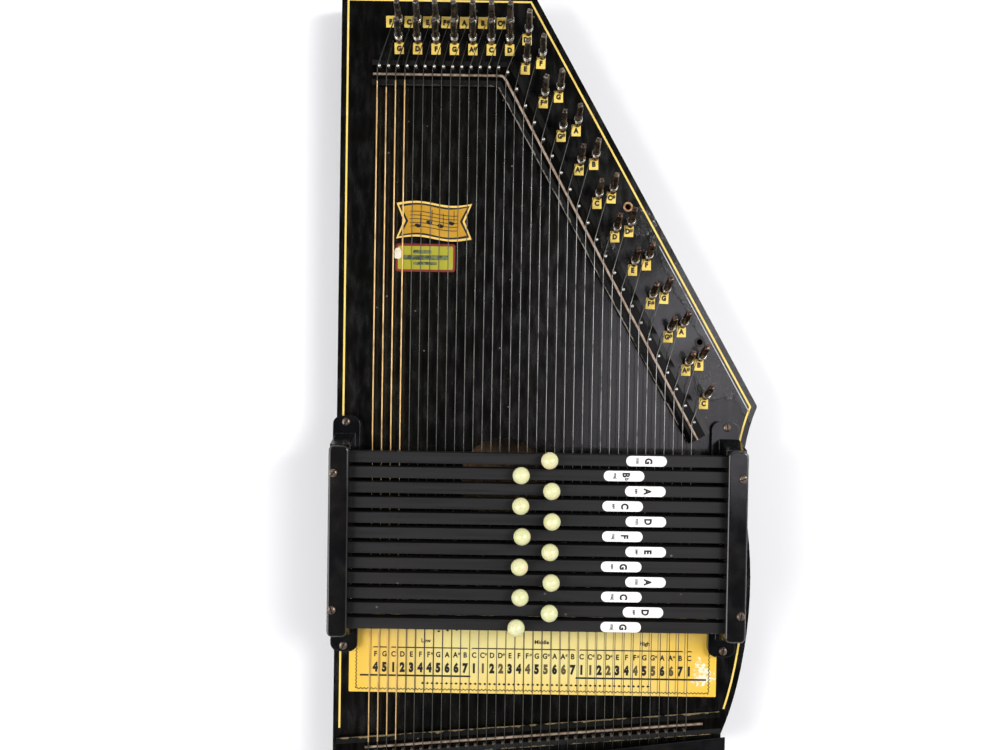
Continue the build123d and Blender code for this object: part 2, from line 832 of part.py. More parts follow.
write_all()
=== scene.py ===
import functools
import json
import random

import bmesh
import bpy
from math import copysign, cos, dist, pi, radians, sin, sqrt
from mathutils import Matrix, Vector, noise


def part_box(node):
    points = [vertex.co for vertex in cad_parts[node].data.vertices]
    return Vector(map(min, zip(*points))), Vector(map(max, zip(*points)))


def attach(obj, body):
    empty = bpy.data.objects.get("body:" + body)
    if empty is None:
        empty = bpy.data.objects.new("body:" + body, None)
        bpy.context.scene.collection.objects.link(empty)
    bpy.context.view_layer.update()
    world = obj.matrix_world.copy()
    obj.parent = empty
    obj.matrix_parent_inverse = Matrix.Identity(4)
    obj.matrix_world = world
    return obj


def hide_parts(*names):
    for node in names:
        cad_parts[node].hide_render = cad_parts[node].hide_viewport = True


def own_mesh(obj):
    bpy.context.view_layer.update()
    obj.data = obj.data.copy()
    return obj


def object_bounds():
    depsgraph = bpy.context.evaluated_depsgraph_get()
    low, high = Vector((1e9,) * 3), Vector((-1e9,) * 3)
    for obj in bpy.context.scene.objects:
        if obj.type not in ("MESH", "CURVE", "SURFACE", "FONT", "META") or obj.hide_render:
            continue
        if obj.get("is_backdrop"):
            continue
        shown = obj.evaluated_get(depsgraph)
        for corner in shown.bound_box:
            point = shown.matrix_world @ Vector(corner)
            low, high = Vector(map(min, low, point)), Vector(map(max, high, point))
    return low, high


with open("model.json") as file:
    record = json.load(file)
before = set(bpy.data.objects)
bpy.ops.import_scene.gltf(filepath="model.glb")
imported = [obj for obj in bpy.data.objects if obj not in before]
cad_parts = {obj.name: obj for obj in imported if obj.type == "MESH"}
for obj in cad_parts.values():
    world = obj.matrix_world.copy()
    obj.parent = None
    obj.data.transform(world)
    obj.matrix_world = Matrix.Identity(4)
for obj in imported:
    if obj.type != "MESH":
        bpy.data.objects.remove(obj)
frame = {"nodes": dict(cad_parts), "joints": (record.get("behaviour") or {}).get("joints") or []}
cad_low, cad_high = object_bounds()
random.seed(36)
scene = bpy.context.scene

# Sizes are in millimetres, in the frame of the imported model, unless a comment says metres.
MM = 0.001
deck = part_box("soundboard")[1].z / MM

# ---- strings
string_count = 36
string_pitch = 6.35
first_string_x = -120.6
wound_string_count = 4
wound_string_radius = 0.55
middle_string_count = 14
middle_string_radius = 0.3
thin_string_radius = 0.25
bend_gap = 0.12
rod_top = 9.0
upper_rod_bend = (-33.26, 228.1)
upper_rod_end = (106.0, -22.4)
lower_rod_left = (-123.2, -242.0)
lower_rod_right = (113.3, -221.7)
guide_behind_straight = 5.0
guide_behind_slanted = 4.6
tail_left = (-147.1, -285.6)
tail_right = (128.1, -251.4)
hitch_inset = 12.6
hitch_height = 1.6
wrap_pitch = 0.5
wrap_core_share = 0.8
wrap_valley_share = 0.86
wrap_starts = [5.0, 9.5, 4.5, 4.2]  # bare core below the upper rod
wrap_ends = [4.0, 4.0, 8.0, 4.5]  # bare core above the lower rod

# ---- tuning pins
pin_radius = 2.3
pin_exposed = 25.0
pin_square_start = 13.0
pin_buried = 12.0
pin_flat_half = 2.2
pin_taper = 0.5
coil_bottom = 4.4
coil_top = 8.0
coil_turns = 5
wire_show_radius = 0.33
coil_outer_radius = 3.2
pin_label_width = 6.4
pin_label_height = 8.0
pin_label_thickness = 0.15
upper_row_label_shift = (-6.2, 1.3)
lower_row_label_shift = (0.0, -5.2)
slanted_label_shift = (-1.0, -4.5)
row_pin_count = 14
pin_notes = "F G C D E F F# G A A# B C C# D D# E F F# G G# A A# B C C# D D# E F F# G G# A A# B C".split()

# ---- chord bars
bar_count = 12
bar_bevel = 0.45
bar_label_length = 27.5
bar_label_width = 7.0
bar_label_thickness = 0.2
odd_bar_label_x = 67.9
even_bar_label_x = 52.1
chords = "G min,Bb maj,A sev,C sev,D min,F maj,E sev,G sev,A min,C maj,D sev,G maj".split(",")
bar_travel = frame["joints"][0]["range_m"][1] / MM
spring_radius = 2.8
spring_wire = 0.35
spring_turns = 7
spring_end_turn = 0.9

# ---- stripe, seam, crackle and screw slots
paint_depth = 0.06
stripe_inset = 4.5
stripe_width = 1.3
stripe_left_end_y = -238.8
stripe_right_end_y = -219.5
slant_top = (-12.1, 286.4)
slant_bottom = (149.35, 1.2)
seam_start = (78.3, 112.6)
seam_length = 133.0
seam_width = 0.55
crackle_patches = [(121.0, 24.0, 20.0), (66.0, 128.0, 11.0), (38.0, 112.0, 8.0)]
screw_slot_depth = 0.9
slot_angles = [60.0, 65.0, 100.0, 80.0, 50.0, 110.0, 20.0, 80.0]

# ---- note card
card_left = -136.3
card_right = 124.0
card_bottom = -205.4
card_top = -150.0
card_z = deck + 0.25
letters_y = -178.4
degrees_y = -187.9
brace_y = -173.4
words_y = -168.4
rule_y = -193.4
rule_width = 1.25
lozenge_y = -198.7
lozenge_count = 48
degrees_low = "4 5 1 2 3 4 4 5 6 6 7".split()
degrees_octave = "1 1 2 2 3 4 4 5 5 6 6 7".split()

# ---- ribbon and label on the soundboard
ribbon_left = -107.0
ribbon_right = -54.0
ribbon_low = 115.5
ribbon_high = 140.5
ribbon_notch = 5.0
ribbon_wave = 1.6
torn_middle = (-105.6, 105.2)


# ---- small tools
def string_x(number):
    return first_string_x + string_pitch * (number - 1)


def string_radius(number):
    if number <= wound_string_count:
        return wound_string_radius
    if number <= middle_string_count:
        return middle_string_radius
    return thin_string_radius


def along(x, start, end):
    """Y at x on the straight line from start to end."""
    return start[1] + (end[1] - start[1]) * (x - start[0]) / (end[0] - start[0])


def upper_rod_y(x):
    if x <= upper_rod_bend[0]:
        return upper_rod_bend[1]
    return along(x, upper_rod_bend, upper_rod_end)


def joint_named(name):
    return next(joint for joint in frame["joints"] if joint["name"] == name)


def scene_object(name, data):
    made = bpy.data.objects.new(name, data)
    scene.collection.objects.link(made)
    return made


def new_piece(name, parts, look, body="body", replaced=None, smooth=False):
    """One mesh object from parts, a list of (points in mm, faces)."""
    points = []
    faces = []
    for part_points, part_faces in parts:
        shift = len(points)
        points.extend(Vector(p) * MM for p in part_points)
        faces.extend(tuple(i + shift for i in face) for face in part_faces)
    mesh = bpy.data.meshes.new(name)
    mesh.from_pydata(points, [], faces)
    mesh.validate()
    mesh.materials.append(look.material)
    mesh.polygons.foreach_set("use_smooth", [smooth] * len(mesh.polygons))
    piece = scene_object(name, mesh)
    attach(piece, body)
    if replaced:
        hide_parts(replaced)
    return piece


def rings_to_faces(rings, sides):
    """Faces that join rings of points, with a cap on each end."""
    faces = []
    for ring in range(rings - 1):
        low = ring * sides
        high = low + sides
        for side in range(sides):
            after = (side + 1) % sides
            faces.append((low + side, low + after, high + after, high + side))
    faces.append(tuple(range(sides - 1, -1, -1)))
    faces.append(tuple(range((rings - 1) * sides, rings * sides)))
    return faces


def around(steps):
    """The cosine and sine at even steps round a circle."""
    angles = [2 * pi * step / steps for step in range(steps)]
    return [(cos(angle), sin(angle)) for angle in angles]


def tube(points, radii, sides):
    """A round tube along points, with its own radius at each point."""
    points = [Vector(p) for p in points]
    made = []
    across = None
    for i, point in enumerate(points):
        before = points[max(i - 1, 0)]
        after = points[min(i + 1, len(points) - 1)]
        direction = (after - before).normalized()
        if across is None:
            across = direction.orthogonal().normalized()
        across = (across - direction * across.dot(direction)).normalized()
        other = direction.cross(across)
        ring = [across * cosine + other * sine for cosine, sine in around(sides)]
        made.extend(point + outwards * radii[i] for outwards in ring)
    return made, rings_to_faces(len(points), sides)


def lathe(profile, sides, centre):
    """A turned shape from (radius, height) pairs."""
    points = []
    for radius, height in profile:
        ring = [Vector((radius * cosine, radius * sine, height)) for cosine, sine in around(sides)]
        points.extend(Vector(centre) + point for point in ring)
    return points, rings_to_faces(len(profile), sides)


def plate(outline, low, high):
    """A flat plate with that outline, given anticlockwise."""
    points = [(x, y, low) for x, y in outline] + [(x, y, high) for x, y in outline]
    return points, rings_to_faces(2, len(outline))


def painted(outline, z):
    """A coat of paint or ink with that outline, on a surface at height z."""
    return plate(outline, z, z + paint_depth)


def rectangle(x_low, x_high, y_low, y_high):
    return [(x_low, y_low), (x_high, y_low), (x_high, y_high), (x_low, y_high)]


def rounded_rectangle(x_low, x_high, y_low, y_high, radius, steps=6):
    outline = []
    corners = [(x_high, y_high, 0), (x_low, y_high, 90), (x_low, y_low, 180), (x_high, y_low, 270)]
    for x, y, start in corners:
        centre_x = x - copysign(radius, x - (x_low + x_high) / 2)
        centre_y = y - copysign(radius, y - (y_low + y_high) / 2)
        for step in range(steps + 1):
            angle = radians(start + 90 * step / steps)
            outline.append((centre_x + radius * cos(angle), centre_y + radius * sin(angle)))
    return outline


def moved(part, matrix):
    points, faces = part
    return [matrix @ Vector(p) for p in points], faces


def turned_at(x, y, angle):
    return Matrix.Translation((x, y, 0)) @ Matrix.Rotation(angle, 4, "Z")


@functools.cache
def glyph(text, bold):
    """Flat lettering one millimetre high as (points, faces), centred on the origin."""
    curve = bpy.data.curves.new("ink", "FONT")
    curve.body = text
    curve.align_x = "CENTER"
    curve.align_y = "CENTER"
    curve.offset = bold
    curve.extrude = 0.5
    curve.resolution_u = 3
    holder = scene_object("ink", curve)
    evaluated = holder.evaluated_get(bpy.context.evaluated_depsgraph_get())
    mesh = bpy.data.meshes.new_from_object(evaluated)
    part = ([v.co.copy() for v in mesh.vertices], [tuple(p.vertices) for p in mesh.polygons])
    bpy.data.objects.remove(holder)
    bpy.data.curves.remove(curve)
    bpy.data.meshes.remove(mesh)
    return part


def lettering(text, size, x, y, z, turn=0.0, narrow=1.0, bold=0.0):
    """Lettering of that size lying at (x, y), with its underside at z."""
    scale = Matrix.Diagonal((size * narrow, size, paint_depth, 1.0))
    lift = Matrix.Translation((0, 0, z + paint_depth / 2))
    return moved(glyph(text, bold), lift @ turned_at(x, y, turn) @ scale)


def cad_mesh(node):
    """A copy of a CAD node's mesh, in metres, with its faces joined at their edges."""
    mesh = bmesh.new()
    mesh.from_mesh(frame["nodes"][node].data)
    bmesh.ops.remove_doubles(mesh, verts=mesh.verts, dist=1e-6)
    return mesh


def solids_of(node):
    """The box of each separate solid of a CAD node, as (low corner, high corner)."""
    mesh = cad_mesh(node)
    seen = set()
    boxes = []
    for start in mesh.verts:
        if start in seen:
            continue
        seen.add(start)
        solid = [start]
        for vertex in solid:
            joined = [edge.other_vert(vertex) for edge in vertex.link_edges]
            fresh = [other for other in joined if other not in seen]
            seen.update(fresh)
            solid.extend(fresh)
        places = list(zip(*(v.co for v in solid)))
        boxes.append((Vector(map(min, places)) / MM, Vector(map(max, places)) / MM))
    mesh.free()
    return boxes


def outer_edge_of_top(node):
    """The outline of a flat CAD node's top face, anticlockwise."""
    mesh = cad_mesh(node)
    top = max(v.co.z for v in mesh.verts)
    neighbours = {}
    for edge in mesh.edges:
        flat = [face for face in edge.link_faces if face.normal.z > 0.9]
        if len(flat) == 1 and min(v.co.z for v in edge.verts) > top - 1e-5:
            for vertex in edge.verts:
                neighbours.setdefault(vertex, []).append(edge.other_vert(vertex))
    start = min(neighbours, key=lambda v: v.co.x + v.co.y)
    loop = [start]
    following = neighbours[start][0]
    while following is not start:
        before = loop[-1]
        loop.append(following)
        following = next(v for v in neighbours[following] if v is not before)
    points = [(v.co.x / MM, v.co.y / MM) for v in loop]
    mesh.free()
    area = sum(a[0] * b[1] - b[0] * a[1] for a, b in zip(points, points[1:] + points[:1]))
    return points if area > 0 else points[::-1]


# ---- materials, whose shader nodes work in metres
class Value:
    """What a shader node gives. Arithmetic with it adds Math nodes."""

    def __init__(self, look, socket):
        self.look = look
        self.socket = socket

    def __add__(self, other):
        return self.look.math("ADD", self, other)

    def __sub__(self, other):
        return self.look.math("SUBTRACT", self, other)

    def __mul__(self, other):
        return self.look.math("MULTIPLY", self, other)

    def step(self, low, high, start=0.0, end=1.0):
        """Turns low to high into start to end, smoothly, and holds it outside."""
        inputs = {0: self, 1: low, 2: high, 3: start, 4: end}
        return self.look.add("MapRange", inputs=inputs, interpolation_type="SMOOTHSTEP")

    def mix(self, first, second):
        """The first colour where this is 0, and the second where it is 1."""
        colours = [c if isinstance(c, Value) else (*c, 1) for c in (first, second)]
        inputs = {0: self, 6: colours[0], 7: colours[1]}
        return self.look.add("Mix", output=2, inputs=inputs, data_type="RGBA")


class Look:
    """A procedural material. Most methods add a shader node and return what it gives."""

    def __init__(self, name, **values):
        self.material = bpy.data.materials.new(name)
        self.material.use_nodes = True
        self.tree = self.material.node_tree
        self.shader = self.tree.nodes["Principled BSDF"]
        self.given = {}
        self.point = self.add("TexCoord", output=3)
        self.set(**values)

    def set(self, **values):
        """Gives the shader's sockets constants or other nodes' outputs."""
        self.given.update(values)
        for name, value in values.items():
            self.connect(self.shader.inputs[name.replace("_", " ")], value)
        return self

    def connect(self, socket, value):
        if socket.is_linked:
            self.tree.links.remove(socket.links[0])
        if isinstance(value, Value):
            self.tree.links.new(value.socket, socket)
        else:
            socket.default_value = value

    def add(self, kind, output=0, inputs=None, **settings):
        made = self.tree.nodes.new("ShaderNode" + kind)
        for setting, value in settings.items():
            setattr(made, setting, value)
        for socket, value in (inputs or {}).items():
            self.connect(made.inputs[socket], value)
        return Value(self, made.outputs[output])

    def math(self, operation, first, second=0.0):
        return self.add("Math", inputs={0: first, 1: second}, operation=operation)

    def highest(self, first, *others):
        for other in others:
            first = self.math("MAXIMUM", first, other)
        return first

    def vector(self, operation, first, second, output=0):
        return self.add("VectorMath", output=output, inputs={0: first, 1: second}, operation=operation)

    def part(self, value, axis):
        return self.add("SeparateXYZ", output="XYZ".index(axis), inputs={0: value})

    def at(self, axis):
        """X, Y or Z of the place on the object."""
        return self.part(self.point, axis)

    def stretched(self, stretch=(1, 1, 1)):
        return self.add("Mapping", inputs={0: self.point, "Scale": stretch})

    def noise(self, scale, detail=4.0, stretch=(1, 1, 1), roughness=0.55, distortion=0.0):
        inputs = {"Vector": self.stretched(stretch), "Scale": scale, "Detail": detail}
        inputs |= {"Roughness": roughness, "Distortion": distortion}
        return self.add("TexNoise", inputs=inputs)

    def bump(self, height, strength, distance, before=None):
        inputs = {"Height": height, "Strength": strength, "Distance": distance * MM}
        if before:
            inputs["Normal"] = before
        return self.add("Bump", inputs=inputs)

    def specks(self, scale, size, share, stretch=(1, 1, 1)):
        """Small separate specks: 1 inside a speck, 0 elsewhere."""
        inputs = {"Vector": self.stretched(stretch), "Scale": scale, "Randomness": 1.0}
        cell_colour = self.add("TexVoronoi", output=1, inputs=inputs)
        chosen = self.math("LESS_THAN", self.part(cell_colour, "X"), share)
        return chosen * self.add("TexVoronoi", inputs=inputs).step(size, size * 0.5)


def crackled_share(look):
    """1 where the lacquer has crackled: in a band along the slanted edge, and in patches near it."""
    y = look.at("Y")
    slope = (slant_bottom[1] - slant_top[1]) / (slant_bottom[0] - slant_top[0])
    edge_y = look.at("X") * slope + (slant_top[1] - slope * slant_top[0]) * MM
    inwards = (edge_y - y) * (1 / sqrt(1 + slope * slope))
    ragged = (look.noise(60.0, 4.0) - 0.5) * 0.012
    band = (inwards + ragged).step(0.0125, 0.0085) * y.step(0.125, 0.105) * y.step(-0.03, -0.015)
    patches = []
    for centre_x, centre_y, reach in crackle_patches:
        centre = (centre_x * MM, centre_y * MM, deck * MM)
        away = look.vector("DISTANCE", look.point, centre, output=1)
        patches.append((away + ragged * 1.6).step(reach * MM, (reach - 3.0) * MM))
    return look.highest(band, *patches)


def black_lacquer(name, crackle=1.0):
    """Old gloss lacquer with crackled patches, dust, streaks and scratches."""
    look = Look(name, Coat_Roughness=0.08, IOR=1.5)
    streak = look.noise(9.0, 3.0, stretch=(22, 1.2, 1))
    base = streak.step(0.45, 0.75).mix((0.0011, 0.0011, 0.0008), (0.0052, 0.0042, 0.0035))
    haze = look.noise(7.0, 3.0)
    base = haze.step(0.5, 0.75, 0, 0.6).mix(base, (0.0023, 0.0028, 0.0016))
    dust = look.specks(150.0, 0.12, 0.1)
    base = (dust * 0.5).mix(base, (0.16, 0.15, 0.13))
    scratch = look.specks(30.0, 0.04, 0.25, stretch=(1.0, 7.0, 1.0))
    cross_scratch = look.specks(26.0, 0.035, 0.2, stretch=(6.0, 1.0, 1.0))
    base = (look.highest(scratch, cross_scratch) * 0.35).mix(base, (0.12, 0.11, 0.09))
    rub = look.noise(60.0, 5.0, stretch=(3, 1, 1))
    peel = look.bump(look.noise(420.0, 3.0), 0.1, 0.3)
    cell_inputs = {"Vector": look.stretched(), "Scale": 560.0}
    cells = look.add("TexVoronoi", inputs=cell_inputs, feature="DISTANCE_TO_EDGE")
    cracks = cells.step(0.0, 0.22) * 0.4 + look.noise(620.0, 3.0).step(0.38, 0.62)
    share = crackled_share(look)
    return look.set(
        Base_Color=base,
        Roughness=rub.step(0.3, 0.8, 0.16, 0.34) + dust * 0.4,
        Normal=look.bump(cracks * share, crackle, 0.6, before=peel),
        Coat_Weight=share.step(0.0, 1.0, 0.35, 1.0),
    )


def with_bare_wood(look, height, above):
    """Turns the part of a lacquered piece above or below a height into bare wood."""
    edge = height * MM
    blend = 0.0001
    share = look.at("Z").step(edge, edge + blend) if above else look.at("Z").step(edge + blend, edge)
    grain = look.noise(28.0, 5.0, stretch=(14, 1, 1), roughness=0.6)
    wood = grain.step(0.3, 0.7).mix((0.22, 0.125, 0.055), (0.42, 0.27, 0.13))
    base = share.mix(look.given["Base_Color"], wood)
    return look.set(Base_Color=base, Roughness=look.highest(look.given["Roughness"], share * 0.6))


def bridge_lacquer():
    """Black lacquered strips. The lower strip's front edge is worn to ochre wood; the pale line along the
    upper strip's slanted front edge is painted edge highlight.
    """
    look = black_lacquer("bridge_lacquer", crackle=0.6)
    ragged = (look.noise(160.0, 5.0) - 0.5) * 0.004
    from_edge = look.math("ABSOLUTE", look.at("Z") - (deck + 4.2) * MM)
    worn = (from_edge + ragged).step(0.0006, 0.0001)
    facing = look.part(look.add("NewGeometry", output=1), "Y")
    lower = look.at("Y").step(-0.19, -0.2)
    lower_front = facing.step(0.05, 0.3) * lower
    upper_front = facing.step(-0.05, -0.3) * look.at("X").step(-0.045, -0.035, 0.1, 0.9)
    # Ochre bare wood on the lower strip; on the upper strip the pale grey is painted edge highlight.
    bare = lower.mix((0.25, 0.22, 0.19), (0.19, 0.145, 0.075))
    base = (worn * look.highest(lower_front, upper_front)).mix(look.given["Base_Color"], bare)
    return look.set(Base_Color=base, Coat_Weight=0.0, Specular_IOR_Level=0.16)


def gloss_plastic(name):
    look = Look(name, IOR=1.5, Coat_Weight=0.25, Coat_Roughness=0.05)
    cloud = look.noise(30.0, 4.0)
    base = cloud.step(0.4, 0.75).mix((0.003, 0.0033, 0.004), (0.0085, 0.0075, 0.0068))
    scratch = look.specks(45.0, 0.05, 0.3, stretch=(6.0, 1.0, 1.0))
    soft_edges = look.add("Bevel", inputs={"Radius": 0.0007}, samples=6)
    return look.set(
        Base_Color=(scratch * 0.4).mix(base, (0.09, 0.08, 0.075)),
        Roughness=look.noise(70.0, 5.0).step(0.3, 0.75, 0.1, 0.26),
        Normal=look.bump(look.noise(160.0, 2.0), 0.05, 0.3, before=soft_edges),
    )


def bar_look():
    """Dark grey extruded bars with fine lines along them and a little dust."""
    look = Look("bar_satin_grey", IOR=1.36)
    lines = look.noise(60.0, 5.0, stretch=(0.25, 9, 9))
    base = lines.step(0.3, 0.7).mix((0.007, 0.0065, 0.007), (0.01, 0.0091, 0.01))
    base = look.noise(9.0, 2.0).step(0.4, 0.7, 0, 0.5).mix(base, (0.0115, 0.0101, 0.0095))
    dust = look.specks(140.0, 0.14, 0.06)
    return look.set(
        Base_Color=(dust * 0.4).mix(base, (0.22, 0.21, 0.2)),
        Roughness=lines.step(0.25, 0.75, 0.42, 0.58),
        Normal=look.bump(lines, 0.12, 0.06),
    )


def pearl():
    look = Look("button_pearl", IOR=1.46, Coat_Weight=0.5, Coat_Roughness=0.12)
    swirl = look.noise(190.0, 4.0, roughness=0.5, distortion=1.4)
    base = swirl.step(0.35, 0.68).mix((0.6, 0.6, 0.305), (0.665, 0.645, 0.375))
    return look.set(
        Subsurface_Weight=0.15,
        Subsurface_Scale=0.002,
        Base_Color=look.noise(60.0, 2.0).step(0.52, 0.7, 0, 0.6).mix(base, (0.74, 0.6, 0.36)),
        Roughness=swirl.step(0.3, 0.7, 0.2, 0.36),
        Normal=look.bump(swirl, 0.06, 0.2),
    )


def metal(name, colour, stain, roughness, scale=120.0):
    look = Look(name, Metallic=1.0)
    cloud = look.noise(scale, 5.0)
    return look.set(
        Base_Color=cloud.step(0.47, 0.78).mix(colour, stain),
        Roughness=cloud.step(0.3, 0.7, roughness, roughness + 0.2),
        Normal=look.bump(look.noise(scale * 5, 3.0), 0.15, 0.08),
    )


def wire_steel():
    """Plain steel wire with tarnish. It is lighter towards the treble side, a painted reflection of the
    lights on the right, and darker towards the tail end.
    """
    look = Look("string_steel", Metallic=1.0)
    cloud = look.noise(90.0, 5.0)
    # Painted sheen: lighter towards the treble side, where the lights on the right would glint on the
    # wire, and darker towards the tail end.
    painted_sheen = look.at("X").step(-0.09, 0.05) * look.at("Y").step(-0.15, 0.0, 0.12, 1.0)
    clean = painted_sheen.mix((0.06, 0.06, 0.052), (0.27, 0.26, 0.25))
    return look.set(
        Base_Color=cloud.step(0.5, 0.75).mix(clean, (0.05, 0.042, 0.032)),
        Roughness=cloud.step(0.3, 0.7, 0.26, 0.46),
    )


def pin_look():
    """Tarnished pins, greyer at the head and browner down the slanted side."""
    look = Look("pin_browned_steel", Metallic=0.9)
    cloud = look.noise(160.0, 5.0)
    head_end = look.at("Y").step(0.12, 0.25)
    clean = head_end.mix((0.085, 0.05, 0.036), (0.105, 0.088, 0.075))
    worn = head_end.mix((0.2, 0.125, 0.085), (0.27, 0.23, 0.19))
    return look.set(
        Base_Color=cloud.step(0.45, 0.72).mix(clean, worn),
        Roughness=cloud.step(0.3, 0.7, 0.13, 0.34),
        Normal=look.bump(look.noise(700.0, 3.0), 0.18, 0.08),
    )


def rod_and_pin_metal():
    """Brown rusty rods. The guide pins' heads are nickel at the upper rod and dark at the lower."""
    look = Look("rods_rust_and_pins_nickel", Metallic=0.85)
    rust = look.noise(220.0, 6.0, roughness=0.65)
    rod = rust.step(0.35, 0.65).mix((0.2, 0.135, 0.095), (0.42, 0.34, 0.27))
    nickel = rust.step(0.5, 0.8).mix((0.52, 0.5, 0.46), (0.22, 0.19, 0.16))
    dark = rust.mix((0.05, 0.038, 0.03), (0.11, 0.085, 0.065))
    upper = look.at("Y").step(-0.2, -0.19)
    head_low = (deck + rod_top + 0.3) * MM
    head = look.at("Z").step(head_low, head_low + 0.0002)
    return look.set(
        Base_Color=head.mix(rod, upper.mix(dark, nickel)),
        Roughness=rust.step(0.3, 0.7, 0.42, 0.66) - head * upper * 0.3,
        Normal=look.bump(rust, 0.3, 0.12),
    )


def screw_metal():
    """Worn steel screws, and two low eyelets, the upper brass and the lower dark."""
    look = Look("screws_steel_and_eyelets_brass", Metallic=0.9)
    cloud = look.noise(260.0, 5.0)
    steel = cloud.step(0.4, 0.65).mix((0.21, 0.165, 0.13), (0.085, 0.06, 0.045))
    brass = cloud.step(0.4, 0.65).mix((0.55, 0.36, 0.2), (0.22, 0.11, 0.055))
    eyelet = look.at("Y").step(0.08, 0.07).mix(brass, (0.035, 0.03, 0.028))
    height = (deck + 2.0) * MM
    return look.set(
        Base_Color=look.at("Z").step(height, height + 0.0005).mix(eyelet, steel),
        Roughness=cloud.step(0.3, 0.7, 0.28, 0.5),
        Normal=look.bump(cloud, 0.2, 0.1),
    )


def card_paper():
    """Varnished yellow paper, amber at the ends and flaked at the right end."""
    look = Look("note_card_paper", IOR=1.4)
    x = look.at("X")
    y = look.at("Y")
    blotch = look.noise(22.0, 4.0)
    left_age = (x - blotch * 0.05).step(-0.075, -0.165)
    right_age = (x + blotch * 0.05).step(0.045, 0.145)
    low_age = y.step(-0.185, -0.207, 0, 0.55)
    base = look.highest(left_age, right_age, low_age).mix((0.76, 0.65, 0.26), (0.78, 0.48, 0.055))
    base = blotch.step(0.45, 0.75, 0, 0.3).mix(base, (0.72, 0.54, 0.15))
    # Painted shade: darker along the top edge, where the chord bars overhang the card.
    base = y.step(-0.172, -0.152, 0, 0.35).mix(base, (0.6, 0.5, 0.22))
    away = look.vector("SUBTRACT", look.point, (0.113, -0.187, 0))
    away = look.vector("MULTIPLY", away, (1.0, 0.62, 0.0))
    away = look.vector("LENGTH", away, (0, 0, 0), output=1)
    ragged = away + look.noise(150.0, 6.0, roughness=0.75) * 0.058
    flaked = ragged.step(0.0325, 0.0312)
    grain = look.bump(look.noise(500.0), 0.08, 0.1)
    return look.set(
        Base_Color=flaked.mix(base, (0.8, 0.72, 0.55)),
        Roughness=blotch.step(0.3, 0.7, 0.38, 0.55),
        Normal=look.bump(flaked, 0.4, -0.08, before=grain),
    )


def printed(name, colour, worn, scale=300.0, low=0.55, high=0.75, roughness=0.5, amount=0.6):
    """Paint, ink or paper that has worn unevenly towards another colour."""
    look = Look(name, IOR=1.45)
    patch = look.noise(scale, 4.0)
    return look.set(
        Base_Color=patch.step(low, high, 0, amount).mix(colour, worn),
        Roughness=patch.step(0.3, 0.7, roughness - 0.08, roughness + 0.1),
        Normal=look.bump(look.noise(900.0, 2.0), 0.08, 0.05),
    )


def felt_look():
    look = Look("felt_charcoal", Roughness=0.95, Sheen_Weight=0.4, Sheen_Roughness=0.5)
    fibre = look.noise(900.0, 5.0, roughness=0.7)
    base = fibre.mix((0.006, 0.006, 0.006), (0.035, 0.03, 0.028))
    return look.set(Base_Color=base, Normal=look.bump(fibre, 0.6, 0.2))


ink = printed("black_ink", (0.005, 0.0045, 0.004), (0.05, 0.034, 0.01), amount=0.4)
pale_ink = printed("pale_ink", (0.1, 0.07, 0.02), (0.22, 0.15, 0.04))
steel_wire = wire_steel()
bronze_wire = metal("string_bronze", (0.5, 0.33, 0.145), (0.28, 0.17, 0.07), 0.32, scale=90.0)
pin_steel = pin_look()
coil_steel = metal("coil_steel", (0.5, 0.48, 0.43), (0.16, 0.13, 0.1), 0.16, scale=420.0)
spring_steel = metal("spring_steel", (0.55, 0.55, 0.55), (0.3, 0.27, 0.24), 0.3)
bar_grey = bar_look()
felt_black = felt_look()
button_pearl = pearl()
label_white = printed("bar_label_white", (0.8, 0.79, 0.775), (0.8, 0.7, 0.6), scale=45.0, amount=0.5)
label_amber = printed(
    "pin_label_amber", (0.79, 0.57, 0.115), (0.54, 0.29, 0.035), scale=40.0, low=0.52, amount=0.75
)
side_lacquer = black_lacquer("side_lacquer")
holder_gloss = gloss_plastic("holder_gloss_black")

cad_looks = {
    "soundboard": with_bare_wood(black_lacquer("soundboard_lacquer"), deck - 2.95, above=False),
    "body_frame": side_lacquer,
    "pin_block": side_lacquer,
    "back_panel": with_bare_wood(black_lacquer("back_lacquer"), 2.95, above=True),
    "string_bridges": bridge_lacquer(),
    "bridge_rods_and_pins": rod_and_pin_metal(),
    "bar_holders": holder_gloss,
    "holder_covers": holder_gloss,
    "tail_cover": gloss_plastic("tail_cover_enamel"),
    "screws_and_eyelets": screw_metal(),
}
for node, look in cad_looks.items():
    for slot in frame["nodes"][node].material_slots:
        slot.material = look.material


# ---- strings
def string_points(number):
    """From the hitch pin over both rods and round the guide pin to the coil on the tuning pin."""
    x = string_x(number)
    radius = string_radius(number)
    height = deck + rod_top + radius + bend_gap
    pin = joint_named(f"tuning_pin_{number:02d}_turn")
    coil = Vector(pin["pos_m"]) / MM + Vector(pin["axis"]) * (coil_bottom + coil_top) / 2
    coil.x -= (pin_radius + coil_outer_radius) / 2
    rod_y = upper_rod_y(x)
    to_guide = guide_behind_straight if x <= upper_rod_bend[0] else guide_behind_slanted
    to_coil = dist((x, rod_y + to_guide), (coil.x, coil.y))
    guide_z = height + (coil.z - height) * to_guide / (to_guide + to_coil)
    guide = Vector((x, rod_y + to_guide, guide_z))
    end = guide.lerp(coil, 1.0 - (coil_outer_radius + radius) / to_coil)
    hitch = Vector((x, along(x, tail_left, tail_right) + hitch_inset, deck + hitch_height))
    low_bend = Vector((x, along(x, lower_rod_left, lower_rod_right), height))
    return [hitch, low_bend, Vector((x, rod_y, height)), guide, end]


def wrapped(points, radius, start_gap, end_gap):
    """The bronze wrapping of a wound string, as a ridged tube between the rods."""
    low = points[1].y + end_gap
    high = points[2].y - start_gap
    rings = int((high - low) / wrap_pitch * 2)
    line = [(points[1].x, low + (high - low) * i / rings, points[1].z) for i in range(rings + 1)]
    return tube(line, [radius if i % 2 else radius * wrap_valley_share for i in range(rings + 1)], 8)


